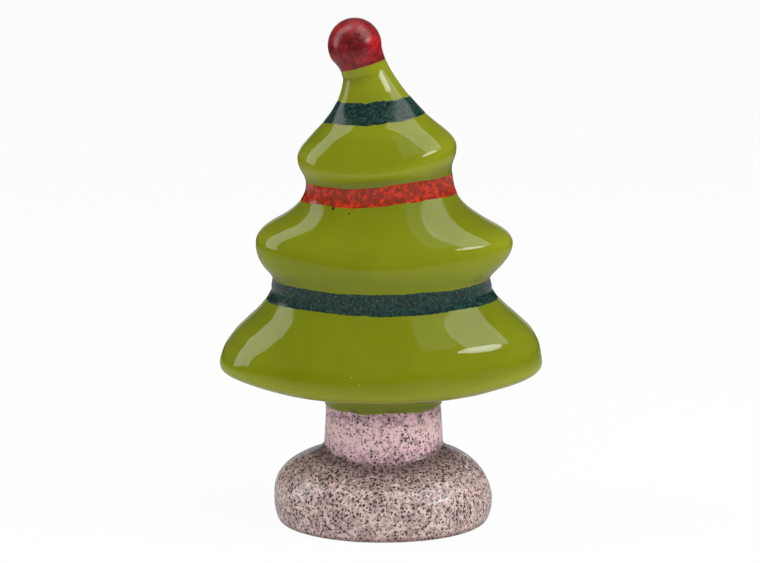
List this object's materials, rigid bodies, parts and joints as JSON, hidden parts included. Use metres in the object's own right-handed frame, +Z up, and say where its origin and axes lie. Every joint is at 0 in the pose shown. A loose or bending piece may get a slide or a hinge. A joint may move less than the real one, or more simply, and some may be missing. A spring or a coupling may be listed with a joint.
{
  "type": "ceramic christmas tree",
  "caption": "Glazed ceramic christmas tree figure of stacked hollow tiers that lean to one side, with brushed colour bands, a ball finial, and a speckled trunk and bun base.",
  "frame": {"origin": "centre of the foot ring's face, on the table, under the middle of the tree", "axes": "+Z up the trunk to the ball, +X to the viewer's right, -Y towards the viewer, so the tip leans to -X"},
  "size_m": [0.0964, 0.058, 0.1516],
  "materials": {
    "base_glaze": "glossy speckled peach-pink glaze",
    "trunk_glaze": "glossy speckled mauve-pink glaze",
    "green_glaze": "thick glossy yellow-green glaze",
    "teal_glaze": "glossy mottled dark teal glaze, brushed on",
    "red_glaze": "glossy orange-red glaze, brushed on",
    "ball_glaze": "glossy mottled dark red glaze"
  },
  "bodies": {
    "root": {"base": "base_glaze", "trunk": "trunk_glaze", "lower_tier": "green_glaze", "middle_tier": "green_glaze", "upper_tier": "green_glaze", "top_ball": "ball_glaze", "lower_band": "teal_glaze", "middle_band": "red_glaze", "upper_band": "teal_glaze"}
  },
  "joints": []
}
